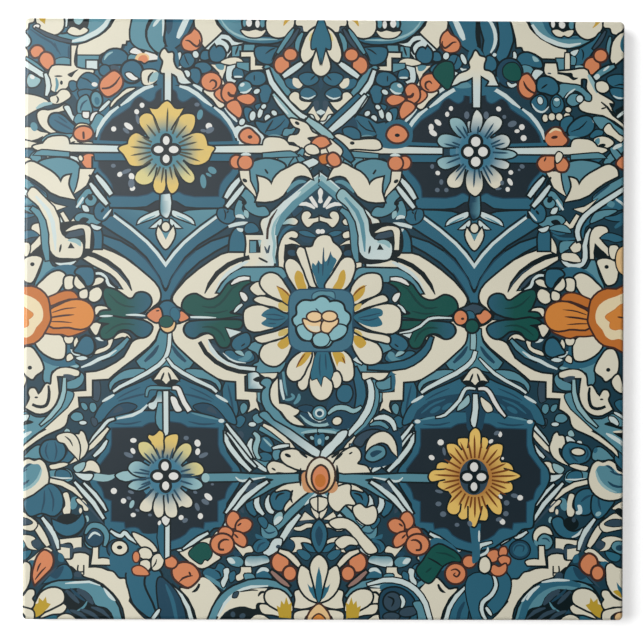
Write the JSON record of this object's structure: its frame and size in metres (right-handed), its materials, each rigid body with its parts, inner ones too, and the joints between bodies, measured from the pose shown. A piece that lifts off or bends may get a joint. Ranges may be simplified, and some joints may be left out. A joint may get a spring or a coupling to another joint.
{
  "type": "decorative tile",
  "caption": "Square glazed ceramic wall tile with a cushioned edge, a keyed waffle back and a floral majolica pattern fired on its face.",
  "frame": {"origin": "centre of the plane that the ribs of the back rest on", "axes": "+Z out of the decorated face, +Y towards the top of the pattern, +X towards its right"},
  "size_m": [0.1524, 0.1524, 0.0064],
  "materials": {
    "glazed_ceramic": "gloss glaze over a printed floral pattern, bare biscuit on the back"
  },
  "bodies": {
    "root": {"tile": "glazed_ceramic"}
  },
  "joints": []
}
